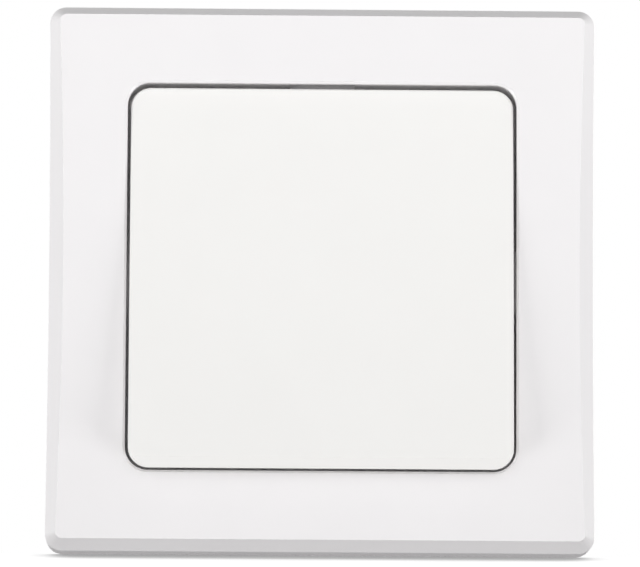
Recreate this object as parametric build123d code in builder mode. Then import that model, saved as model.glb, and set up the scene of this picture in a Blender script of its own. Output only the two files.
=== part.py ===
from build123d import *

import os
from math import cos, radians, sin

os.makedirs("parts", exist_ok=True)

# Flush-mounted light push button: square cover frame, tilting button, wall insert.
# X is to the right, Z is up and the front faces -Y. Y = 0 is the wall's surface.
# A height is millimetres in front of the wall, and a negative one is inside the wall box.

# Cover frame
frame_size = 81.0
frame_depth = 10.0
frame_corner = 2.4
frame_waist = 0.25
bevel_width = 1.55
bevel_waist = 0.85
bevel_depth = 3.6
front_corner = 1.0
front_wall = 2.2
side_wall = 2.4
frame_band = 11.7
opening_corner = 3.4
opening_edge = 0.35
collar_wall = 1.6
collar_back = 3.6
ledge_wall = 0.7
ledge_reach = 1.2
pry_width = 9.6
pry_roof = 1.3
rib_wall = 1.2
rib_root = 0.4
rib_back = 5.4
rib_place = 10.5

# Button cap, measured in its own tilted plane through the pivot
rest_tilt = 4.0
press_travel = 3.5
cap_gap_side = 0.5
cap_gap_top = 1.2
cap_gap_low = 0.5
cap_proud = 1.2
cap_corner = 3.0
cap_wall = 1.5
cap_face_wall = 1.8
cap_depth = 4.6
cap_edge = 0.4
lip_reach = 0.95
lip_wall = 1.1
grip_height = 1.5
grip_depth = 0.8
seat_rib_place = 20.0
hook_width = 5.0
hook_wall = 1.5
hook_lip = 0.7
hook_place = 10.5

# Pivot and carrier
pivot_height = 3.0
trunnion_radius = 2.5
running_gap = 0.05
carrier_width = 30.0
carrier_length = 30.0
carrier_wall = 1.8
carrier_corner = 2.0
carrier_hole_width = 18.0
carrier_hole_length = 5.0
carrier_hole_place = 4.5
cheek_place = 11.0
cheek_wall = 2.0
cheek_length = 8.0
cheek_round = 2.8
tower_lap = 0.5
part_gap = 0.2
seat_gap = 0.1

# Contact foot and bridge
foot_place = 9.5
foot_width = 7.0
foot_wall = 2.4
foot_reach = 7.0
stake_radius = 1.0
stake_length = 1.1
bridge_length = 20.5
bridge_width = 4.0
bridge_wall = 0.6
contact_place = 8.0
contact_radius = 1.6
contact_height = 0.8
contact_gap = 0.12

# Return springs
spring_place = 8.0
spring_middle = -9.8
spring_radius = 2.2
spring_wire = 0.5
spring_wire_sides = 4
spring_turns = 3
spring_pocket = 1.0
spring_stud_radius = 1.7
spring_stud_length = 1.4

# Support ring of pressed steel
ring_gap = 2.35
ring_wall = 1.2
ring_corner = 9.0
ring_notch = 2.0
lug_bend = 0.8
window_width = 34.0
window_length = 29.0
window_corner = 2.0
fixing_edge = 5.5
fixing_radius = 2.1
fixing_slot_length = 13.0
lug_place = 20.0
lug_width = 6.0
lug_height = 6.6
lug_relief = 0.5
lug_window_width = 4.6
lug_window_length = 2.0
lug_window_back = 3.8
nub_reach = 0.7
nub_length = 1.5

# Moulded base inside the wall box
base_width = 42.0
base_length = 40.0
base_depth = 22.0
base_corner = 6.0
base_floor = 3.0
base_edge = 0.6
flange_side = 2.0
flange_end = 1.0
flange_wall = 2.0
flange_corner = 8.0
side_rib_wall = 1.4
side_rib_height = 0.8
side_rib_place = 8.0
back_pocket_width = 26.0
back_pocket_length = 13.0
back_pocket_depth = 1.0
back_pocket_corner = 2.0
gauge_width = 2.2
gauge_length = 11.0
deck_wall = 2.0
deck_lap = 1.5
chamber_step = 2.0
deck_screw_x = 12.0
deck_screw_edge = 2.7
stop_width = 5.0
stop_wall = 1.4
screw_radius = 1.25
screw_length = 7.0
screw_head_radius = 2.1
screw_head_height = 1.0
screw_slot_width = 0.6
screw_slot_depth = 0.5

# Terminals
block_size = 8.0
block_edge = 0.15
clamp_wall = 7.5
wire_radius = 1.75
wire_clearance = 0.15
wire_depth = 6.6
port_boss_radius = 3.6
port_boss_height = 0.8
port_chamfer = 0.6
clamp_radius = 1.5
clamp_tip = 0.3
clamp_shank = 5.6
clamp_head_radius = 2.4
clamp_head_height = 1.8
strip_width = 5.0
strip_wall = 0.8
strip_step = -3.6

# Worked-out values shared by the pieces that meet
tilt = radians(rest_tilt)
press_tilt = radians(rest_tilt - press_travel)
opening_size = frame_size - 2 * frame_band
collar_size = opening_size + 2 * collar_wall
ledge_size = opening_size - 2 * ledge_reach
ledge_top = collar_back + ledge_wall
hollow_size = frame_size - 2 * side_wall - 2 * frame_waist
ring_size = hollow_size - 2 * ring_gap
fixing_spacing = ring_size - 2 * fixing_edge
rib_length = (hollow_size - collar_size) / 2 + rib_root
nub_back = lug_window_back + lug_window_length - part_gap - nub_length
lug_inner = collar_size / 2 + part_gap
lug_outer = lug_inner + ring_wall
cap_width = opening_size - 2 * cap_gap_side
cap_top = opening_size / 2 - cap_gap_top
cap_low = opening_size / 2 - cap_gap_low
cap_length = cap_top + cap_low
cap_middle = (cap_top - cap_low) / 2
cap_face = frame_depth + cap_proud - pivot_height
cap_inside = cap_face - cap_face_wall
cap_back = cap_face - cap_depth
carrier_top = cap_inside - part_gap
carrier_under = carrier_top - carrier_wall
hook_catch = carrier_width / 2 + seat_gap
cheek_outer = cheek_place + cheek_wall
tower_inner = cheek_outer + part_gap
tower_wall = window_width / 2 - tower_inner - 2 * part_gap
tower_top = pivot_height + carrier_under - cheek_length / 2 * sin(tilt) - 2 * part_gap
tower_length = cheek_length + 2 * tower_lap
tower_throat = 2 * trunnion_radius - 6 * running_gap
contact_low = foot_reach + bridge_wall + contact_height
contact_top = pivot_height - contact_low * cos(press_tilt) + foot_place * sin(press_tilt) - contact_gap
contact_middle = -foot_place * cos(press_tilt) - contact_low * sin(press_tilt)
strip_top = contact_top - contact_height
strip_under = strip_top - strip_wall
deck_width = window_width + 2 * deck_lap
deck_length = window_length - 2 * part_gap
chamber_width = deck_width - 2 * chamber_step
chamber_length = deck_length - 2 * chamber_step
flange_width = base_width + 2 * flange_side
flange_length = base_length + 2 * flange_end
deck_screw_z = base_length / 2 - deck_screw_edge
block_back = base_floor - base_depth
block_place = base_length / 2 - clamp_wall - block_size / 2
block_front = block_back + block_size
spring_low = -spring_pocket + spring_wire / 2
spring_high = pivot_height + carrier_under * cos(tilt) - (spring_middle + spring_radius) * sin(tilt)
spring_pitch = (spring_high - seat_gap - spring_wire - spring_low) / spring_turns
stop_place = window_length / 2 - stop_wall - part_gap
rest_stop = pivot_height + carrier_under * cos(tilt) - (stop_place + stop_wall) * sin(tilt) - seat_gap
press_stop = pivot_height + carrier_under * cos(press_tilt) + stop_place * sin(press_tilt) - seat_gap
foot_slot_top = -foot_place * cos(tilt) + foot_wall / 2 + 2 * part_gap
foot_slot_low = -foot_place * cos(tilt) - foot_reach * sin(tilt) - foot_wall / 2 - 2 * part_gap


def front(height):
    """Plane facing the viewer, this far in front of the wall."""
    return Plane.XZ.offset(height)


def across(place):
    """Plane facing +X at this X: its first axis is Z and its second is the height."""
    return Plane(origin=(place, 0, 0), x_dir=(0, 0, 1), z_dir=(1, 0, 0))


def tilted(reach):
    """Plane of the button at rest, this far out from the pivot axis."""
    return Plane(
        origin=(0, -pivot_height, 0), x_dir=(1, 0, 0), z_dir=(0, -cos(tilt), sin(tilt))
    ).offset(reach)


def tilted_across(place):
    """Plane facing +X at this X: its axes run up the button and out of its face."""
    return Plane(
        origin=(place, -pivot_height, 0), x_dir=(0, sin(tilt), cos(tilt)), z_dir=(1, 0, 0)
    )


def waisted_outline(height, inset, waist, corner):
    """Square with straight ends and sides that bow inwards, at this height."""
    half = frame_size / 2 - inset
    with BuildSketch(front(height)) as outline:
        with BuildLine():
            top = Line((-half, half), (half, half))
            right = ThreePointArc(top @ 1, (half - waist, 0), (half, -half))
            bottom = Line(right @ 1, (-half, -half))
            ThreePointArc(bottom @ 1, (-half + waist, 0), top @ 0)
        make_face()
        fillet(outline.vertices(), corner)
    return outline.sketch.face()


# Cover frame: waisted bevel, open back, collar with a ledge behind the gap, snap nubs, pry notches
with BuildPart() as cover_frame:
    shoulder = waisted_outline(frame_depth - bevel_depth, 0, frame_waist, frame_corner)
    brow = waisted_outline(frame_depth, bevel_width, bevel_waist, front_corner)
    extrude(shoulder, amount=bevel_depth - frame_depth)
    loft([shoulder, brow], ruled=True)
    with BuildSketch(front(0)):
        RectangleRounded(hollow_size, hollow_size, frame_corner)
        RectangleRounded(collar_size, collar_size, opening_corner + collar_wall, mode=Mode.SUBTRACT)
    extrude(amount=frame_depth - front_wall, mode=Mode.SUBTRACT)
    with BuildSketch(front(0)):
        RectangleRounded(collar_size, collar_size, opening_corner + collar_wall)
    extrude(amount=collar_back, mode=Mode.SUBTRACT)
    with BuildSketch(front(rib_back)):
        with GridLocations((collar_size + hollow_size) / 2, 2 * rib_place, 2, 2):
            Rectangle(rib_length, rib_wall)
        with GridLocations(2 * rib_place, (collar_size + hollow_size) / 2, 2, 2):
            Rectangle(rib_wall, rib_length)
    extrude(amount=frame_depth - front_wall - rib_back)
    with BuildSketch(front(nub_back)):
        with GridLocations(collar_size + nub_reach, 2 * lug_place, 2, 2):
            Rectangle(nub_reach, lug_window_width - 2 * part_gap)
    extrude(amount=nub_length)
    with BuildSketch(front(ledge_top)):
        RectangleRounded(opening_size, opening_size, opening_corner)
    extrude(amount=frame_depth - ledge_top, mode=Mode.SUBTRACT)
    with BuildSketch(front(0)):
        RectangleRounded(ledge_size, ledge_size, opening_corner - ledge_reach)
    extrude(amount=frame_depth, mode=Mode.SUBTRACT)
    with BuildSketch(front(ledge_top)):
        Rectangle(collar_size + part_gap, pry_width)
        Rectangle(pry_width, collar_size + part_gap)
    extrude(amount=frame_depth - pry_roof - ledge_top, mode=Mode.SUBTRACT)
    chamfer(cover_frame.faces().sort_by(Axis.Y).first.inner_wires().edges(), opening_edge)
cover_frame.part.label = "cover_frame"
export_step(cover_frame.part, "parts/cover_frame.step")

# Button cap: flat face, blunt lip over the skirt at the bottom, seat ribs and four hooks
with BuildPart() as button_cap:
    with BuildSketch(tilted(cap_back)):
        with Locations((0, cap_middle)):
            RectangleRounded(cap_width, cap_length, cap_corner)
    extrude(amount=cap_depth)
    with BuildSketch(tilted(cap_face - lip_wall)):
        with Locations((0, cap_middle - lip_reach / 2)):
            RectangleRounded(cap_width, cap_length + lip_reach, cap_corner)
    extrude(amount=lip_wall)
    fillet(button_cap.faces().sort_by(Axis(tilted(0).origin, tilted(0).z_dir)).last.edges(), cap_edge)
    with BuildSketch(tilted_across(0)):
        with BuildLine():
            Polyline(
                (-cap_low - lip_reach - grip_height, cap_face - 2 * grip_depth),
                (-cap_low - lip_reach + grip_height, cap_face),
                (-cap_low - lip_reach - grip_height, cap_face),
                close=True,
            )
        make_face()
    extrude(amount=cap_width / 2, both=True, mode=Mode.SUBTRACT)
    with BuildSketch(tilted(cap_back)):
        with Locations((0, cap_middle)):
            RectangleRounded(cap_width - 2 * cap_wall, cap_length - 2 * cap_wall, cap_corner - cap_wall)
    extrude(amount=cap_inside - cap_back, mode=Mode.SUBTRACT)
    with BuildSketch(tilted(carrier_top)):
        with GridLocations(0, seat_rib_place, 1, 3):
            Rectangle(cap_width - 2 * cap_wall, rib_wall)
        with Locations((0, cap_middle)):
            with GridLocations(seat_rib_place, 0, 3, 1):
                Rectangle(rib_wall, cap_length - 2 * cap_wall)
    extrude(amount=cap_inside - carrier_top)
    with BuildSketch(tilted(carrier_under - hook_lip)):
        with GridLocations(2 * hook_catch + hook_wall, 2 * hook_place, 2, 2):
            Rectangle(hook_wall, hook_width)
    extrude(amount=cap_inside - carrier_under + hook_lip)
    with BuildSketch(tilted(carrier_under - seat_gap - hook_lip)):
        with GridLocations(2 * hook_catch - hook_lip + hook_wall, 2 * hook_place, 2, 2):
            Rectangle(hook_lip + hook_wall, hook_width)
    extrude(amount=hook_lip)
button_cap.part.label = "button_cap"
export_step(button_cap.part, "parts/button_cap.step")

# Carrier: plate that the cap snaps on, cheeks with trunnions, spring studs and the contact foot
with BuildPart() as button_carrier:
    with BuildSketch(tilted(carrier_under)):
        RectangleRounded(carrier_width, carrier_length, carrier_corner)
        with GridLocations(0, 2 * carrier_hole_place, 1, 2):
            Rectangle(carrier_hole_width, carrier_hole_length, mode=Mode.SUBTRACT)
    extrude(amount=carrier_wall)
    for side in (-1, 1):
        with BuildSketch(tilted_across(side * (cheek_place + cheek_wall / 2))):
            Circle(cheek_round)
            with Locations((0, carrier_under / 2)):
                Rectangle(2 * cheek_round, carrier_under)
        extrude(amount=cheek_wall / 2, both=True)
        with BuildSketch(tilted_across(side * cheek_outer)):
            Circle(trunnion_radius)
        extrude(amount=side * (tower_wall + part_gap))
    with BuildSketch(tilted(-foot_reach)):
        with Locations((0, -foot_place)):
            Rectangle(foot_width, foot_wall)
    extrude(amount=foot_reach + carrier_under)
    with BuildSketch(tilted(-foot_reach)):
        with Locations((0, -foot_place)):
            Circle(stake_radius)
    extrude(amount=-stake_length)
    with BuildSketch(tilted(carrier_under)):
        with Locations((-spring_place, spring_middle), (spring_place, spring_middle)):
            Circle(spring_stud_radius)
    extrude(amount=-spring_stud_length)
button_carrier.part.label = "button_carrier"
export_step(button_carrier.part, "parts/button_carrier.step")

# Contact bridge: brass strip staked under the foot, with a hole for the stake
with BuildPart() as contact_bridge:
    with BuildSketch(tilted(-foot_reach)):
        with Locations((0, -foot_place)):
            RectangleRounded(bridge_length, bridge_width, bridge_width / 3)
            Circle(stake_radius + running_gap, mode=Mode.SUBTRACT)
    extrude(amount=-bridge_wall)
contact_bridge.part.label = "contact_bridge"
export_step(contact_bridge.part, "parts/contact_bridge.step")

# Moving contacts: silver buttons under the two ends of the bridge
for name, side in (("left", -1), ("right", 1)):
    with BuildPart() as moving_contact:
        with BuildSketch(tilted(-foot_reach - bridge_wall)):
            with Locations((side * contact_place, -foot_place)):
                Circle(contact_radius)
        extrude(amount=-contact_height)
    moving_contact.part.label = f"moving_contact_{name}"
    export_step(moving_contact.part, f"parts/moving_contact_{name}.step")

# Return springs: coils between the deck's pockets and the carrier
for name, side in (("left", -1), ("right", 1)):
    with BuildPart() as return_spring:
        with BuildLine():
            coil = Helix(
                pitch=spring_pitch,
                height=spring_pitch * spring_turns,
                radius=spring_radius,
                center=(side * spring_place, -spring_low, spring_middle),
                direction=(0, -1, 0),
            )
        with BuildSketch(Plane(origin=coil @ 0, z_dir=coil % 0)):
            RegularPolygon(spring_wire / 2, spring_wire_sides)
        sweep(is_frenet=True)
    return_spring.part.label = f"return_spring_{name}"
    export_step(return_spring.part, f"parts/return_spring_{name}.step")

# Deck: closes the base and carries the pivot towers, spring pockets and stops
with BuildPart() as mechanism_deck:
    with BuildSketch(front(-deck_wall)):
        Rectangle(deck_width, deck_length)
    extrude(amount=deck_wall)
    with BuildSketch(front(0)):
        with GridLocations(2 * tower_inner + tower_wall, 0, 2, 1):
            Rectangle(tower_wall, tower_length)
    extrude(amount=tower_top)
    with BuildSketch(across(0)):
        with Locations((0, pivot_height)):
            Circle(trunnion_radius + running_gap)
        with Locations((0, pivot_height + tower_top / 2)):
            Rectangle(tower_throat, tower_top)
    extrude(amount=window_width / 2, both=True, mode=Mode.SUBTRACT)
    for place, height in ((stop_place, rest_stop), (-stop_place - stop_wall, press_stop)):
        with BuildSketch(front(0)):
            with Locations((0, place + stop_wall / 2)):
                Rectangle(stop_width, stop_wall)
        extrude(amount=height)
    with BuildSketch(front(-spring_pocket)):
        with Locations((-spring_place, spring_middle), (spring_place, spring_middle)):
            Circle(spring_radius + spring_wire / 2 + part_gap)
    extrude(amount=spring_pocket, mode=Mode.SUBTRACT)
    with BuildSketch(front(-deck_wall)):
        with Locations((0, (foot_slot_top + foot_slot_low) / 2)):
            Rectangle(foot_width + 4 * part_gap, foot_slot_top - foot_slot_low)
    extrude(amount=deck_wall, mode=Mode.SUBTRACT)
mechanism_deck.part.label = "mechanism_deck"
export_step(mechanism_deck.part, "parts/mechanism_deck.step")

# Support ring: pressed steel plate with bent lugs, fixing holes and slots
with BuildPart() as support_ring:
    with BuildSketch(front(0)):
        RectangleRounded(ring_size, ring_size, ring_corner)
        RectangleRounded(window_width, window_length, window_corner, mode=Mode.SUBTRACT)
        with GridLocations(0, fixing_spacing, 1, 2):
            Circle(fixing_radius, mode=Mode.SUBTRACT)
        with GridLocations(fixing_spacing, 0, 2, 1):
            SlotOverall(fixing_slot_length, 2 * fixing_radius, rotation=90, mode=Mode.SUBTRACT)
        with GridLocations(2 * deck_screw_x, 2 * deck_screw_z, 2, 2):
            Circle(screw_radius + running_gap, mode=Mode.SUBTRACT)
        with PolarLocations(ring_size / 2, 4):
            Rectangle(ring_notch, ring_notch, rotation=45, mode=Mode.SUBTRACT)
        with GridLocations(ring_size, 2 * lug_place, 2, 2):
            Rectangle(ring_size - 2 * lug_outer, lug_width + 2 * lug_relief, mode=Mode.SUBTRACT)
    extrude(amount=ring_wall)
    with BuildSketch(front(0)):
        with GridLocations(2 * lug_outer - ring_wall, 2 * lug_place, 2, 2):
            Rectangle(ring_wall, lug_width)
    extrude(amount=lug_height)
    outer_bends = support_ring.edges().filter_by(Axis.Z).group_by(Axis.Y)[-1]
    fillet(outer_bends.filter_by(lambda edge: abs(abs(edge.center().X) - lug_outer) < seat_gap), lug_bend)
    with BuildSketch(across(0)):
        with GridLocations(2 * lug_place, 0, 2, 1):
            with Locations((0, lug_window_back + lug_window_length / 2)):
                Rectangle(lug_window_width, lug_window_length)
    extrude(amount=ring_size / 2, both=True, mode=Mode.SUBTRACT)
support_ring.part.label = "support_ring"
export_step(support_ring.part, "parts/support_ring.step")

# Base: moulded block in the wall box, with contact chamber, terminal pockets and wire ports
with BuildPart() as switch_base:
    with BuildSketch(front(-base_depth)) as base_outline:
        Rectangle(base_width, base_length)
        chamfer(base_outline.vertices(), base_corner)
    extrude(amount=base_depth)
    chamfer(switch_base.faces().sort_by(Axis.Y).last.edges(), base_edge)
    with BuildSketch(front(-flange_wall)) as flange_outline:
        Rectangle(flange_width, flange_length)
        chamfer(flange_outline.vertices(), flange_corner)
    extrude(amount=flange_wall)
    with BuildSketch(front(base_edge - base_depth)):
        with GridLocations(base_width, side_rib_place, 2, 3):
            Rectangle(2 * side_rib_height, side_rib_wall)
        with Locations((0, -base_length / 2)):
            with GridLocations(side_rib_place, 0, 3, 1):
                Rectangle(side_rib_wall, 2 * side_rib_height)
    extrude(amount=base_depth - base_edge)
    with BuildSketch(front(-base_depth)):
        with Locations((-contact_place, block_place), (contact_place, block_place)):
            Circle(port_boss_radius)
    extrude(amount=-port_boss_height)
    with BuildSketch(front(-base_depth)):
        with Locations((0, -base_length / 4)):
            RectangleRounded(back_pocket_width, back_pocket_length, back_pocket_corner)
            Rectangle(side_rib_wall, back_pocket_length, mode=Mode.SUBTRACT)
        with Locations((0, block_place)):
            SlotOverall(gauge_length, gauge_width, rotation=90)
    extrude(amount=back_pocket_depth, mode=Mode.SUBTRACT)
    with BuildSketch(front(-deck_wall)):
        Rectangle(deck_width + 2 * seat_gap, deck_length + 2 * seat_gap)
    extrude(amount=deck_wall, mode=Mode.SUBTRACT)
    with BuildSketch(front(strip_under)):
        Rectangle(chamber_width, chamber_length)
    extrude(amount=-strip_under - deck_wall, mode=Mode.SUBTRACT)
    with BuildSketch(front(block_back)):
        with Locations((-contact_place, 0), (contact_place, 0)):
            with Locations((0, (block_place + block_size / 2 + seat_gap + strip_step) / 2)):
                Rectangle(block_size + 2 * seat_gap, block_place + block_size / 2 + seat_gap - strip_step)
    extrude(amount=strip_under - block_back, mode=Mode.SUBTRACT)
    with BuildSketch(front(-base_depth - port_boss_height)):
        with Locations((-contact_place, block_place), (contact_place, block_place)):
            Circle(wire_radius)
    extrude(amount=base_floor + port_boss_height, mode=Mode.SUBTRACT)
    mouths = switch_base.edges().filter_by(GeomType.CIRCLE).group_by(Axis.Y)[-1]
    chamfer(mouths.filter_by(lambda edge: edge.radius < 2 * wire_radius), port_chamfer)
    with BuildSketch(Plane.XY.offset(block_place + block_size / 2)):
        with Locations(
            (-contact_place, -block_back - block_size / 2), (contact_place, -block_back - block_size / 2)
        ):
            Circle(clamp_head_radius + part_gap)
    extrude(amount=base_length, mode=Mode.SUBTRACT)
    with BuildSketch(front(-screw_length)):
        with GridLocations(2 * deck_screw_x, 2 * deck_screw_z, 2, 2):
            Circle(screw_radius)
    extrude(amount=screw_length, mode=Mode.SUBTRACT)
switch_base.part.label = "switch_base"
export_step(switch_base.part, "parts/switch_base.step")

# Ring screws: slotted cheese heads on the ring, shanks in the base
for index, (sign_x, sign_z) in enumerate(((-1, 1), (1, 1), (-1, -1), (1, -1))):
    with BuildPart() as ring_screw:
        with BuildSketch(front(seat_gap - screw_length)):
            with Locations((sign_x * deck_screw_x, sign_z * deck_screw_z)):
                Circle(screw_radius)
        extrude(amount=screw_length + ring_wall - seat_gap)
        with BuildSketch(front(ring_wall)):
            with Locations((sign_x * deck_screw_x, sign_z * deck_screw_z)):
                Circle(screw_head_radius)
        extrude(amount=screw_head_height)
        with BuildSketch(front(ring_wall + screw_head_height - screw_slot_depth)):
            with Locations((sign_x * deck_screw_x, sign_z * deck_screw_z)):
                Rectangle(2 * screw_head_radius, screw_slot_width)
        extrude(amount=screw_slot_depth, mode=Mode.SUBTRACT)
    ring_screw.part.label = f"ring_screw_{index + 1}"
    export_step(ring_screw.part, f"parts/ring_screw_{index + 1}.step")

for name, side in (("left", -1), ("right", 1)):
    # Terminal block: brass cube with a wire hole from the back and a screw hole from the top
    with BuildPart() as terminal_block:
        with BuildSketch(front(block_back)):
            with Locations((side * contact_place, block_place)):
                Rectangle(block_size, block_size)
        extrude(amount=block_size)
        chamfer(terminal_block.edges().filter_by(Axis.Y), block_edge)
        with BuildSketch(front(block_back)):
            with Locations((side * contact_place, block_place)):
                Circle(wire_radius + wire_clearance)
        extrude(amount=wire_depth, mode=Mode.SUBTRACT)
        with BuildSketch(Plane.XY.offset(block_place)):
            with Locations((side * contact_place, -block_back - block_size / 2)):
                Circle(clamp_radius)
        extrude(amount=block_size, mode=Mode.SUBTRACT)
    terminal_block.part.label = f"terminal_block_{name}"
    export_step(terminal_block.part, f"parts/terminal_block_{name}.step")

    # Clamp screw: slotted cheese head in the base's top hole, tip just clear of the wire hole
    clamp_low = block_place + wire_radius + wire_clearance + clamp_tip
    with BuildPart() as clamp_screw:
        with BuildSketch(Plane.XY.offset(clamp_low)):
            with Locations((side * contact_place, -block_back - block_size / 2)):
                Circle(clamp_radius)
        extrude(amount=clamp_shank)
        with BuildSketch(Plane.XY.offset(clamp_low + clamp_shank)):
            with Locations((side * contact_place, -block_back - block_size / 2)):
                Circle(clamp_head_radius)
        extrude(amount=clamp_head_height)
        with BuildSketch(Plane.XY.offset(clamp_low + clamp_shank + clamp_head_height - screw_slot_depth)):
            with Locations((side * contact_place, -block_back - block_size / 2)):
                Rectangle(2 * clamp_head_radius, screw_slot_width)
        extrude(amount=screw_slot_depth, mode=Mode.SUBTRACT)
    clamp_screw.part.label = f"clamp_screw_{name}"
    export_step(clamp_screw.part, f"parts/clamp_screw_{name}.step")

    # Contact strip: stepped brass strip from the block's front face to the fixed contact
    with BuildPart() as contact_strip:
        with BuildSketch(across(side * contact_place)):
            with BuildLine():
                Polyline(
                    (block_place + block_size / 2, block_front),
                    (block_place + block_size / 2, block_front + strip_wall),
                    (strip_step + 2 * strip_wall, block_front + strip_wall),
                    (strip_step + 2 * strip_wall, strip_top),
                    (-chamber_length / 2 + part_gap, strip_top),
                    (-chamber_length / 2 + part_gap, strip_under),
                    (strip_step + strip_wall, strip_under),
                    (strip_step + strip_wall, block_front),
                    close=True,
                )
            make_face()
        extrude(amount=strip_width / 2, both=True)
    contact_strip.part.label = f"contact_strip_{name}"
    export_step(contact_strip.part, f"parts/contact_strip_{name}.step")

    # Fixed contact: silver button riveted on the strip under the moving one
    with BuildPart() as fixed_contact:
        with BuildSketch(front(strip_top)):
            with Locations((side * contact_place, contact_middle)):
                Circle(contact_radius)
        extrude(amount=contact_height)
    fixed_contact.part.label = f"fixed_contact_{name}"
    export_step(fixed_contact.part, f"parts/fixed_contact_{name}.step")
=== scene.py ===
import bpy
import math
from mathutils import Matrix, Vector


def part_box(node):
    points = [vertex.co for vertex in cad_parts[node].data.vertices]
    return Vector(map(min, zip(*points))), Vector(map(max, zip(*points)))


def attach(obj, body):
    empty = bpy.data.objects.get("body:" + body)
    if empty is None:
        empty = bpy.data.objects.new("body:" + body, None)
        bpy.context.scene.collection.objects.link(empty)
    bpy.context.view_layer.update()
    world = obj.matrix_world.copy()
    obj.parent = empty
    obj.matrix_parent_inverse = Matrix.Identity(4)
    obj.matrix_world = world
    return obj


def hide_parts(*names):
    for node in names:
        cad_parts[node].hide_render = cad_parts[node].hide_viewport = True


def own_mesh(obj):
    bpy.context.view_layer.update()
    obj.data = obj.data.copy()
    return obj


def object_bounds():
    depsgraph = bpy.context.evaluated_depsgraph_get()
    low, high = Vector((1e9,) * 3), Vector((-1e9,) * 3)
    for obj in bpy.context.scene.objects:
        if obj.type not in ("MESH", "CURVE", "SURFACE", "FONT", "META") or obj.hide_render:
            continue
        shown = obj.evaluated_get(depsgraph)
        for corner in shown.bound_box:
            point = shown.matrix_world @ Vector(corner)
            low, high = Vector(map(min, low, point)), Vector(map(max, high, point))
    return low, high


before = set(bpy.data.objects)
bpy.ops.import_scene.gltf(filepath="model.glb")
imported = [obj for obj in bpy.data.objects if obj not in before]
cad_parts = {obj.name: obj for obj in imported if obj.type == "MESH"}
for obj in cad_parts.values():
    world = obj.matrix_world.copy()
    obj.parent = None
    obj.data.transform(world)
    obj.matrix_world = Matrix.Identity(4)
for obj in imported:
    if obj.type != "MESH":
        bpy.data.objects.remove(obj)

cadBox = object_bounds()  # the CAD model's box, before anything is added
mm = 0.001


def hexToLinear(hexColour):
    parts = [int(hexColour[i:i + 2], 16) / 255 for i in (1, 3, 5)]
    linear = [c / 12.92 if c <= 0.04045 else ((c + 0.055) / 1.055) ** 2.4 for c in parts]
    return (*linear, 1.0)


def addNode(tree, kind, settings=None, links=None):
    # settings: socket or property name -> value; links: input name or number -> output socket
    node = tree.nodes.new(kind)
    for name, value in (settings or {}).items():
        if isinstance(name, int) or name in node.inputs.keys():
            node.inputs[name].default_value = value
        else:
            setattr(node, name, value)
    for name, socket in (links or {}).items():
        tree.links.new(socket, node.inputs[name])
    return node


def startMaterial(name):
    material = bpy.data.materials.new(name)
    material.use_nodes = True
    tree = material.node_tree
    tree.nodes.clear()
    return material, tree


def endMaterial(tree, shader):
    addNode(tree, "ShaderNodeOutputMaterial", links={"Surface": shader.outputs[0]})


def paint(nodeNames, material):
    for name in nodeNames:
        piece = bpy.data.objects[name]
        piece.data.materials.clear()
        piece.data.materials.append(material)


# Moulded urea: cover frame and button

mouldedUrea = {
    "frameColour": "#F1EFF0",   # cool white of the frame
    "frameShade": "#EEECED",    # faint cloudiness in the thick walls
    "buttonColour": "#F4F3F1",  # the button is a warmer white
    "buttonShade": "#F2F1EF",
    "smoothest": 0.32,          # satin from a lightly sparked mould
    "roughest": 0.41,
    "ior": 1.55,
    "sparkSize": 0.35,          # mm, grain of the mould's finish
    "sparkDepth": 0.012,        # mm
    "sparkStrength": 0.4,
    "sparkDetail": 3.0,
    "flowSize": 9.0,            # mm, soft waviness of a moulded wall
    "flowDepth": 0.02,          # mm
    "flowStrength": 0.25,
    "flowDetail": 2.0,
}


def makeMouldedUrea(name, colour, shade):
    # hard, white, satin, with a very fine spark grain
    spec = mouldedUrea
    material, tree = startMaterial(name)
    place = addNode(tree, "ShaderNodeTexCoord").outputs["Object"]
    flow = addNode(tree, "ShaderNodeTexNoise",
                   {"Scale": 1 / (spec["flowSize"] * mm), "Detail": spec["flowDetail"]},
                   {"Vector": place})
    spark = addNode(tree, "ShaderNodeTexNoise",
                    {"Scale": 1 / (spec["sparkSize"] * mm), "Detail": spec["sparkDetail"]},
                    {"Vector": place})
    waves = addNode(tree, "ShaderNodeBump",
                    {"Strength": spec["flowStrength"], "Distance": spec["flowDepth"] * mm},
                    {"Height": flow.outputs["Fac"]})
    grain = addNode(tree, "ShaderNodeBump",
                    {"Strength": spec["sparkStrength"], "Distance": spec["sparkDepth"] * mm},
                    {"Height": spark.outputs["Fac"], "Normal": waves.outputs["Normal"]})
    colours = addNode(tree, "ShaderNodeMix",
                      {"data_type": "RGBA", 6: hexToLinear(colour), 7: hexToLinear(shade)},
                      {"Factor": flow.outputs["Fac"]})
    gloss = addNode(tree, "ShaderNodeMapRange",
                    {"To Min": spec["smoothest"], "To Max": spec["roughest"]},
                    {"Value": spark.outputs["Fac"]})
    shader = addNode(tree, "ShaderNodeBsdfPrincipled", {"IOR": spec["ior"]}, {
        "Base Color": colours.outputs[2],
        "Roughness": gloss.outputs["Result"],
        "Normal": grain.outputs["Normal"],
    })
    endMaterial(tree, shader)
    return material


paint(["cover_frame"],
      makeMouldedUrea("mouldedUreaFrame", mouldedUrea["frameColour"], mouldedUrea["frameShade"]))
paint(["button_cap"],
      makeMouldedUrea("mouldedUreaButton", mouldedUrea["buttonColour"], mouldedUrea["buttonShade"]))

# Glass-filled polyamide: base, deck and carrier

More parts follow.
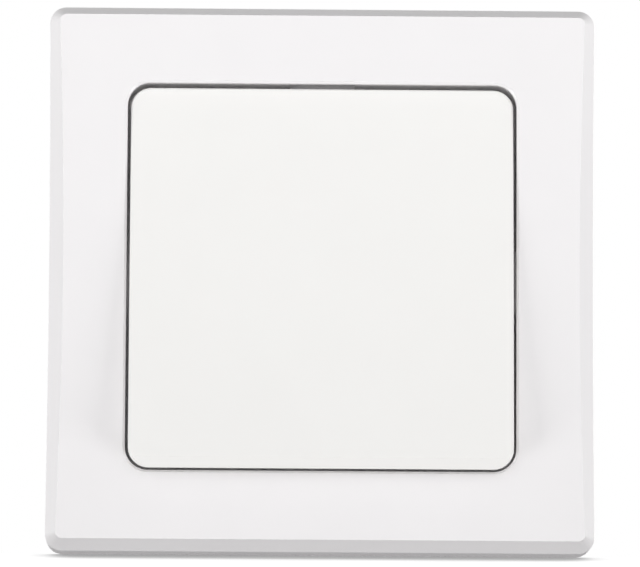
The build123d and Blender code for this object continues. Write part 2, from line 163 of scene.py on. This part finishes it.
filledPolyamide = {
    "baseColour": "#D9D8D3",     # pale grey block in the wall box
    "baseShade": "#CFCDC7",
    "carrierColour": "#C9C9C6",  # the turning carrier is a shade darker
    "carrierShade": "#BFBFBB",
    "smoothest": 0.45,           # glass fibre leaves the skin dull
    "roughest": 0.60,
    "ior": 1.53,
    "fibreSize": 0.5,            # mm, streaks of fibre near the skin
    "fibreStretch": 5.0,         # the streaks run with the melt, away from the wall
    "fibreDepth": 0.02,          # mm
    "fibreStrength": 0.5,
    "fibreDetail": 4.0,
    "cloudSize": 6.0,            # mm, uneven filler in the melt
    "cloudDetail": 3.0,
}


def makeFilledPolyamide(name, colour, shade):
    # dull engineering plastic with short streaks where the fibre comes near the skin
    spec = filledPolyamide
    material, tree = startMaterial(name)
    place = addNode(tree, "ShaderNodeTexCoord").outputs["Object"]
    along = addNode(tree, "ShaderNodeMapping", {"Scale": (1.0, 1 / spec["fibreStretch"], 1.0)},
                    {"Vector": place})
    fibre = addNode(tree, "ShaderNodeTexNoise",
                    {"Scale": 1 / (spec["fibreSize"] * mm), "Detail": spec["fibreDetail"]},
                    {"Vector": along.outputs["Vector"]})
    cloud = addNode(tree, "ShaderNodeTexNoise",
                    {"Scale": 1 / (spec["cloudSize"] * mm), "Detail": spec["cloudDetail"]},
                    {"Vector": place})
    skin = addNode(tree, "ShaderNodeBump",
                   {"Strength": spec["fibreStrength"], "Distance": spec["fibreDepth"] * mm},
                   {"Height": fibre.outputs["Fac"]})
    colours = addNode(tree, "ShaderNodeMix",
                      {"data_type": "RGBA", 6: hexToLinear(colour), 7: hexToLinear(shade)},
                      {"Factor": cloud.outputs["Fac"]})
    gloss = addNode(tree, "ShaderNodeMapRange",
                    {"To Min": spec["smoothest"], "To Max": spec["roughest"]},
                    {"Value": fibre.outputs["Fac"]})
    shader = addNode(tree, "ShaderNodeBsdfPrincipled", {"IOR": spec["ior"]}, {
        "Base Color": colours.outputs[2],
        "Roughness": gloss.outputs["Result"],
        "Normal": skin.outputs["Normal"],
    })
    endMaterial(tree, shader)
    return material


paint(["switch_base", "mechanism_deck"],
      makeFilledPolyamide("filledPolyamideBase", filledPolyamide["baseColour"],
                          filledPolyamide["baseShade"]))
paint(["button_carrier"],
      makeFilledPolyamide("filledPolyamideCarrier", filledPolyamide["carrierColour"],
                          filledPolyamide["carrierShade"]))

# Zinc-plated pressed steel: support ring

zincSteel = {
    "colour": "#B9BBBD",
    "shade": "#A3A6A8",
    "smoothest": 0.24,     # thin bright zinc
    "roughest": 0.42,
    "rollSize": 0.25,      # mm between the faint rolling lines under the zinc
    "rollStretch": 40.0,   # the lines run across the sheet
    "rollDepth": 0.01,     # mm
    "rollStrength": 0.4,
    "rollDetail": 2.0,
    "cloudSize": 5.0,      # mm, cloudy look of barrel plating
    "cloudDetail": 5.0,
}


def makeZincSteel():
    # cold-rolled sheet with thin bright zinc, cloudy and faintly lined
    spec = zincSteel
    material, tree = startMaterial("zincPlatedSheet")
    place = addNode(tree, "ShaderNodeTexCoord").outputs["Object"]
    along = addNode(tree, "ShaderNodeMapping", {"Scale": (1 / spec["rollStretch"], 1.0, 1.0)},
                    {"Vector": place})
    lines = addNode(tree, "ShaderNodeTexNoise",
                    {"Scale": 1 / (spec["rollSize"] * mm), "Detail": spec["rollDetail"]},
                    {"Vector": along.outputs["Vector"]})
    cloud = addNode(tree, "ShaderNodeTexNoise",
                    {"Scale": 1 / (spec["cloudSize"] * mm), "Detail": spec["cloudDetail"]},
                    {"Vector": place})
    skin = addNode(tree, "ShaderNodeBump",
                   {"Strength": spec["rollStrength"], "Distance": spec["rollDepth"] * mm},
                   {"Height": lines.outputs["Fac"]})
    colours = addNode(tree, "ShaderNodeMix",
                      {"data_type": "RGBA", 6: hexToLinear(spec["colour"]), 7: hexToLinear(spec["shade"])},
                      {"Factor": cloud.outputs["Fac"]})
    gloss = addNode(tree, "ShaderNodeMapRange",
                    {"To Min": spec["smoothest"], "To Max": spec["roughest"]},
                    {"Value": cloud.outputs["Fac"]})
    shader = addNode(tree, "ShaderNodeBsdfPrincipled", {"Metallic": 1.0}, {
        "Base Color": colours.outputs[2],
        "Roughness": gloss.outputs["Result"],
        "Normal": skin.outputs["Normal"],
    })
    endMaterial(tree, shader)
    return material


paint(["support_ring"], makeZincSteel())

# Bare brass: bridge, strips and terminal blocks

bareBrass = {
    "colour": "#D3B36A",
    "tarnish": "#B4924C",   # handling and air dull it in patches
    "smoothest": 0.22,      # drawn bright
    "roughest": 0.42,
    "drawSize": 0.18,       # mm between drawing lines
    "drawStretch": 30.0,    # the lines run up and down
    "drawDepth": 0.008,     # mm
    "drawStrength": 0.5,
    "drawDetail": 2.0,
    "patchSize": 2.5,       # mm
    "patchDetail": 4.0,
}


def makeBareBrass():
    # drawn brass, bright, finely lined and a little tarnished in patches
    spec = bareBrass
    material, tree = startMaterial("bareDrawnBrass")
    place = addNode(tree, "ShaderNodeTexCoord").outputs["Object"]
    along = addNode(tree, "ShaderNodeMapping", {"Scale": (1.0, 1.0, 1 / spec["drawStretch"])},
                    {"Vector": place})
    lines = addNode(tree, "ShaderNodeTexNoise",
                    {"Scale": 1 / (spec["drawSize"] * mm), "Detail": spec["drawDetail"]},
                    {"Vector": along.outputs["Vector"]})
    patch = addNode(tree, "ShaderNodeTexNoise",
                    {"Scale": 1 / (spec["patchSize"] * mm), "Detail": spec["patchDetail"]},
                    {"Vector": place})
    skin = addNode(tree, "ShaderNodeBump",
                   {"Strength": spec["drawStrength"], "Distance": spec["drawDepth"] * mm},
                   {"Height": lines.outputs["Fac"]})
    colours = addNode(tree, "ShaderNodeMix",
                      {"data_type": "RGBA", 6: hexToLinear(spec["colour"]), 7: hexToLinear(spec["tarnish"])},
                      {"Factor": patch.outputs["Fac"]})
    gloss = addNode(tree, "ShaderNodeMapRange",
                    {"To Min": spec["smoothest"], "To Max": spec["roughest"]},
                    {"Value": patch.outputs["Fac"]})
    shader = addNode(tree, "ShaderNodeBsdfPrincipled", {"Metallic": 1.0}, {
        "Base Color": colours.outputs[2],
        "Roughness": gloss.outputs["Result"],
        "Normal": skin.outputs["Normal"],
    })
    endMaterial(tree, shader)
    return material


paint(["contact_bridge", "contact_strip_left", "contact_strip_right",
       "terminal_block_left", "terminal_block_right"], makeBareBrass())

# Silver: contact faces

silverContact = {
    "colour": "#E4E3DE",
    "dull": "#C9C6BD",     # a breath of sulphide
    "smoothest": 0.17,     # coined bright
    "roughest": 0.32,
    "patchSize": 0.9,      # mm
    "patchDetail": 3.0,
}


def makeSilverContact():
    # riveted silver, bright, and faintly yellowed in patches
    spec = silverContact
    material, tree = startMaterial("rivetedSilver")
    place = addNode(tree, "ShaderNodeTexCoord").outputs["Object"]
    patch = addNode(tree, "ShaderNodeTexNoise",
                    {"Scale": 1 / (spec["patchSize"] * mm), "Detail": spec["patchDetail"]},
                    {"Vector": place})
    colours = addNode(tree, "ShaderNodeMix",
                      {"data_type": "RGBA", 6: hexToLinear(spec["colour"]), 7: hexToLinear(spec["dull"])},
                      {"Factor": patch.outputs["Fac"]})
    gloss = addNode(tree, "ShaderNodeMapRange",
                    {"To Min": spec["smoothest"], "To Max": spec["roughest"]},
                    {"Value": patch.outputs["Fac"]})
    shader = addNode(tree, "ShaderNodeBsdfPrincipled", {"Metallic": 1.0}, {
        "Base Color": colours.outputs[2],
        "Roughness": gloss.outputs["Result"],
    })
    endMaterial(tree, shader)
    return material


paint([f"{kind}_contact_{side}" for kind in ("moving", "fixed") for side in ("left", "right")],
      makeSilverContact())

# Yellow-passivated steel: screws

passivatedSteel = {
    "straw": "#D8C98F",
    "bloom": "#C3B7B0",    # the passivation turns from straw to a faint violet
    "smoothest": 0.23,     # bright zinc under the film
    "roughest": 0.36,
    "bloomSize": 1.4,      # mm
    "bloomDetail": 2.0,
    "coat": 0.3,           # thin clear film over the metal
}


def makePassivatedSteel():
    # zinc with a straw-coloured chromate film that shifts in soft patches
    spec = passivatedSteel
    material, tree = startMaterial("yellowPassivatedSteel")
    place = addNode(tree, "ShaderNodeTexCoord").outputs["Object"]
    bloom = addNode(tree, "ShaderNodeTexNoise",
                    {"Scale": 1 / (spec["bloomSize"] * mm), "Detail": spec["bloomDetail"]},
                    {"Vector": place})
    colours = addNode(tree, "ShaderNodeMix",
                      {"data_type": "RGBA", 6: hexToLinear(spec["straw"]), 7: hexToLinear(spec["bloom"])},
                      {"Factor": bloom.outputs["Fac"]})
    gloss = addNode(tree, "ShaderNodeMapRange",
                    {"To Min": spec["smoothest"], "To Max": spec["roughest"]},
                    {"Value": bloom.outputs["Fac"]})
    shader = addNode(tree, "ShaderNodeBsdfPrincipled", {"Metallic": 1.0, "Coat Weight": spec["coat"]}, {
        "Base Color": colours.outputs[2],
        "Roughness": gloss.outputs["Result"],
    })
    endMaterial(tree, shader)
    return material


paint([f"ring_screw_{number}" for number in range(1, 5)] + ["clamp_screw_left", "clamp_screw_right"],
      makePassivatedSteel())
print("materials made")

# Spring wire: round-wire coils in place of the plain CAD ones

springWire = {
    "colour": "#8E9094",
    "shade": "#75777C",
    "smoothest": 0.27,      # hard-drawn and left bare
    "roughest": 0.42,
    "drawSize": 0.12,       # mm, die lines of the drawn wire
    "drawDetail": 2.0,
    "thickness": 0.5,       # mm
    "openTurns": 3.0,
    "closedTurns": 0.9,     # turns laid flat at each end
    "stepsATurn": 32,
    "roundness": 3,         # steps in a quarter of the wire's section
    "keep": 0.935,          # length left when the button is pressed
}


def makeSpringWire():
    # hard-drawn wire, grey and finely lined
    spec = springWire
    material, tree = startMaterial("hardDrawnWire")
    place = addNode(tree, "ShaderNodeTexCoord").outputs["Object"]
    lines = addNode(tree, "ShaderNodeTexNoise",
                    {"Scale": 1 / (spec["drawSize"] * mm), "Detail": spec["drawDetail"]},
                    {"Vector": place})
    colours = addNode(tree, "ShaderNodeMix",
                      {"data_type": "RGBA", 6: hexToLinear(spec["colour"]), 7: hexToLinear(spec["shade"])},
                      {"Factor": lines.outputs["Fac"]})
    gloss = addNode(tree, "ShaderNodeMapRange",
                    {"To Min": spec["smoothest"], "To Max": spec["roughest"]},
                    {"Value": lines.outputs["Fac"]})
    shader = addNode(tree, "ShaderNodeBsdfPrincipled", {"Metallic": 1.0}, {
        "Base Color": colours.outputs[2],
        "Roughness": gloss.outputs["Result"],
    })
    endMaterial(tree, shader)
    return material


def makeSpring(name, node, material):
    spec = springWire
    low, high = (Vector(corner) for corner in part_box(node))
    wire = spec["thickness"] * mm
    middle = (low + high) / 2
    radius = (high.x - low.x - wire) / 2
    turns = spec["openTurns"] + 2 * spec["closedTurns"]
    steps = round(turns * spec["stepsATurn"])
    rise = high.y - low.y - wire
    flat = spec["closedTurns"] * wire        # what the closed turns take at each end
    curve = bpy.data.curves.new(name, "CURVE")
    curve.dimensions = "3D"
    curve.bevel_depth = wire / 2
    curve.bevel_resolution = spec["roundness"]
    curve.use_fill_caps = True
    spline = curve.splines.new("POLY")
    spline.points.add(steps)
    for index in range(steps + 1):
        turn = index / spec["stepsATurn"]
        if turn < spec["closedTurns"]:
            up = turn * wire
        elif turn > turns - spec["closedTurns"]:
            up = rise - (turns - turn) * wire
        else:
            up = flat + (rise - 2 * flat) * (turn - spec["closedTurns"]) / spec["openTurns"]
        angle = 2 * math.pi * turn
        spline.points[index].co = (middle.x + radius * math.cos(angle), high.y - wire / 2 - up,
                                   middle.z + radius * math.sin(angle), 1.0)
    source = bpy.data.objects.new(name + "Path", curve)
    spring = bpy.data.objects.new(name, bpy.data.meshes.new_from_object(source))
    bpy.context.collection.objects.link(spring)
    bpy.data.objects.remove(source)
    for face in spring.data.polygons:
        face.use_smooth = True
    spring.data.materials.append(material)
    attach(spring, "housing")
    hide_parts(node)
    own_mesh(spring)


wireMaterial = makeSpringWire()
for side in ("left", "right"):
    makeSpring(f"coilSpring_{side}", f"return_spring_{side}", wireMaterial)
print("springs made")

# Softened edges on the moulded and pressed pieces

edgeWidths = {
    "cover_frame": 0.12,     # mm
    "button_carrier": 0.15,
    "mechanism_deck": 0.15,
    "switch_base": 0.20,
    "support_ring": 0.12,
}
softEdge = {
    "turnsFrom": 25.0,       # degrees between two faces, and edges that turn less stay as they are
    "segments": 2,
}


def softenEdges(node, width):
    piece = bpy.data.objects[node]
    bevel = piece.modifiers.new("softEdge", "BEVEL")
    bevel.width = width * mm
    bevel.segments = softEdge["segments"]
    bevel.limit_method = "ANGLE"
    bevel.angle_limit = math.radians(softEdge["turnsFrom"])
    bevel.harden_normals = True
    bevel.use_clamp_overlap = True


for node, width in edgeWidths.items():
    softenEdges(node, width)
print("edges softened")

# Stage: white table and backdrop, two soft lamps and the camera

studio = {
    "floorTilt": 8.1,         # degrees, the floor falls away in front of the frame's lower edge
    "floorSize": 0.7,         # metres
    "floorShade": 0.20,       # the floor's own grey, under the white that the camera sees
    "floorLift": 1.0,         # that white, glowing for the camera where nothing stands near; near the frame it is dimmed into a painted shadow
    "paintedShadowReach": 12.0,     # mm, how far the painted shadow under the frame spreads
    "paintedShadowLeast": 0.28,     # part of the white left in the closest nook, where the painted shadow is darkest
    "paintedShadowTo": 0.86,        # openness from which the white is whole and the painted shadow ends
    "lampAzimuth": 68.0,      # degrees to each side of the front
    "lampElevation": -29.0,   # degrees, so they light from below
    "lampDistance": 1.2,      # metres
    "lampSize": 0.5,          # metres
    "lampPower": 6.9,         # watts
    "skyLevel": 0.287,        # soft light from the level
    "skyFront": 1.345,        # more from the front
    "skyBehind": 1.25,        # and nearly as much from behind
    "skyTilt": 0.434,         # brightest a little above the level
    "skyFall": 1.652,         # and darker towards straight up and straight down
}


def lookAt(thing, target):
    thing.rotation_euler = (Vector(target) - thing.location).to_track_quat("-Z", "Y").to_euler()


def directionFrom(azimuth, elevation):
    az, el = math.radians(azimuth), math.radians(elevation)
    return Vector((math.sin(az) * math.cos(el), -math.cos(az) * math.cos(el), math.sin(el)))


def makePaperWithPaintedShadow():
    # white paper, which the camera sees as plain white glow except close to the frame, where ambient
    # occlusion dims the glow into a painted contact shadow
    material, tree = startMaterial("whitePaperWithPaintedShadow")
    shade = studio["floorShade"]
    matt = addNode(tree, "ShaderNodeBsdfDiffuse", {"Color": (shade, shade, shade, 1)})
    path = addNode(tree, "ShaderNodeLightPath")
    # painted shadow: ambient occlusion darkens the camera's white glow close to the frame
    paintedShadowNook = addNode(tree, "ShaderNodeAmbientOcclusion", {"Distance": studio["paintedShadowReach"] * mm})
    paintedShadowOpenness = addNode(tree, "ShaderNodeMapRange",
                       {"From Max": studio["paintedShadowTo"], "To Min": studio["paintedShadowLeast"]},
                       {"Value": paintedShadowNook.outputs["AO"]})
    lift = addNode(tree, "ShaderNodeMath", {"operation": "MULTIPLY"},
                   {0: path.outputs["Is Camera Ray"], 1: paintedShadowOpenness.outputs["Result"]})
    level = addNode(tree, "ShaderNodeMath", {"operation": "MULTIPLY", 1: studio["floorLift"]},
                    {0: lift.outputs[0]})
    glow = addNode(tree, "ShaderNodeEmission", {"Color": (1, 1, 1, 1)}, {"Strength": level.outputs[0]})
    both = addNode(tree, "ShaderNodeAddShader", links={0: matt.outputs[0], 1: glow.outputs[0]})
    endMaterial(tree, both)
    return material


def makeFloor():
    # a table top that meets the frame's lower back edge, level behind it and falling away in front
    half = studio["floorSize"] / 2
    low = cadBox[0][2]
    drop = half * math.tan(math.radians(studio["floorTilt"]))
    rows = ((-half, low - drop), (0.0, low), (half, low))
    corners = [(x, y, z) for y, z in rows for x in (-half, half)]
    mesh = bpy.data.meshes.new("floor")
    mesh.from_pydata(corners, [], [(0, 1, 3, 2), (2, 3, 5, 4)])
    floor = bpy.data.objects.new("floor", mesh)
    bpy.context.collection.objects.link(floor)
    floor.visible_shadow = False      # the lamps stand lower than the table
    mesh.materials.append(makePaperWithPaintedShadow())


def makeLamp(name, azimuth):
    light = bpy.data.lights.new(name, "AREA")
    light.shape = "SQUARE"
    light.size = studio["lampSize"]
    light.energy = studio["lampPower"]
    lamp = bpy.data.objects.new(name, light)
    bpy.context.collection.objects.link(lamp)
    lamp.location = directionFrom(azimuth, studio["lampElevation"]) * studio["lampDistance"]
    lookAt(lamp, (0, 0, 0))


def makeSky():
    # soft light worked out from its direction; the camera sees plain white in its place
    world = bpy.data.worlds.new("studioSky")
    bpy.context.scene.world = world
    world.use_nodes = True
    tree = world.node_tree
    tree.nodes.clear()
    place = addNode(tree, "ShaderNodeTexCoord").outputs["Generated"]
    axes = addNode(tree, "ShaderNodeSeparateXYZ", links={"Vector": place})
    front = addNode(tree, "ShaderNodeMath", {"operation": "MULTIPLY", 1: -studio["skyFront"]},
                    {0: axes.outputs["Y"]})
    behind = addNode(tree, "ShaderNodeMath", {"operation": "MULTIPLY", 1: studio["skyBehind"]},
                     {0: axes.outputs["Y"]})
    facing = addNode(tree, "ShaderNodeMath", {"operation": "MAXIMUM"},
                     {0: front.outputs[0], 1: behind.outputs[0]})
    level = addNode(tree, "ShaderNodeMath", {"operation": "ADD", 1: studio["skyLevel"]},
                    {0: facing.outputs[0]})
    tilt = addNode(tree, "ShaderNodeMath", {"operation": "MULTIPLY_ADD", 1: studio["skyTilt"]},
                   {0: axes.outputs["Z"], 2: level.outputs[0]})
    square = addNode(tree, "ShaderNodeMath", {"operation": "MULTIPLY"},
                     {0: axes.outputs["Z"], 1: axes.outputs["Z"]})
    fall = addNode(tree, "ShaderNodeMath", {"operation": "MULTIPLY_ADD", 1: -studio["skyFall"]},
                   {0: square.outputs[0], 2: tilt.outputs[0]})
    kept = addNode(tree, "ShaderNodeMath", {"operation": "MAXIMUM", 1: 0.0}, {0: fall.outputs[0]})
    soft = addNode(tree, "ShaderNodeBackground", {"Color": (1, 1, 1, 1)}, {"Strength": kept.outputs[0]})
    white = addNode(tree, "ShaderNodeBackground", {"Color": (1, 1, 1, 1), "Strength": 1.0})
    path = addNode(tree, "ShaderNodeLightPath")
    seen = addNode(tree, "ShaderNodeMath", {"operation": "MAXIMUM"},
                   {0: path.outputs["Is Camera Ray"], 1: path.outputs["Is Transmission Ray"]})
    mix = addNode(tree, "ShaderNodeMixShader",
                  links={0: seen.outputs[0], 1: soft.outputs[0], 2: white.outputs[0]})
    addNode(tree, "ShaderNodeOutputWorld", links={"Surface": mix.outputs[0]})


view = {
    "elevation": -7.2,     # degrees, the camera looks up a little at the front
    "azimuth": -1.0,       # and stands a little to the left
    "roll": 0.3,           # degrees, the photograph leans a little clockwise
    "distance": 0.9,       # metres, from how little the frame narrows towards its top
    "widthSeen": 0.0949,   # metres across the photograph at that distance
    "aim": (-0.00014, -0.005, -0.00044),   # metres
    "sensor": 36.0,        # mm
}


def makeCamera():
    camera = bpy.data.objects.new("camera", bpy.data.cameras.new("camera"))
    bpy.context.collection.objects.link(camera)
    bpy.context.scene.camera = camera
    direction = directionFrom(view["azimuth"], view["elevation"])
    camera.location = Vector(view["aim"]) + direction * view["distance"]
    lookAt(camera, view["aim"])
    camera.rotation_euler.rotate_axis("Z", math.radians(view["roll"]))
    camera.data.sensor_width = view["sensor"]
    camera.data.lens = view["sensor"] * view["distance"] / view["widthSeen"]


makeFloor()
makeLamp("lampLeft", -studio["lampAzimuth"])
makeLamp("lampRight", studio["lampAzimuth"])
makeSky()
makeCamera()
bpy.context.scene.view_settings.view_transform = "Standard"
print("stage made")
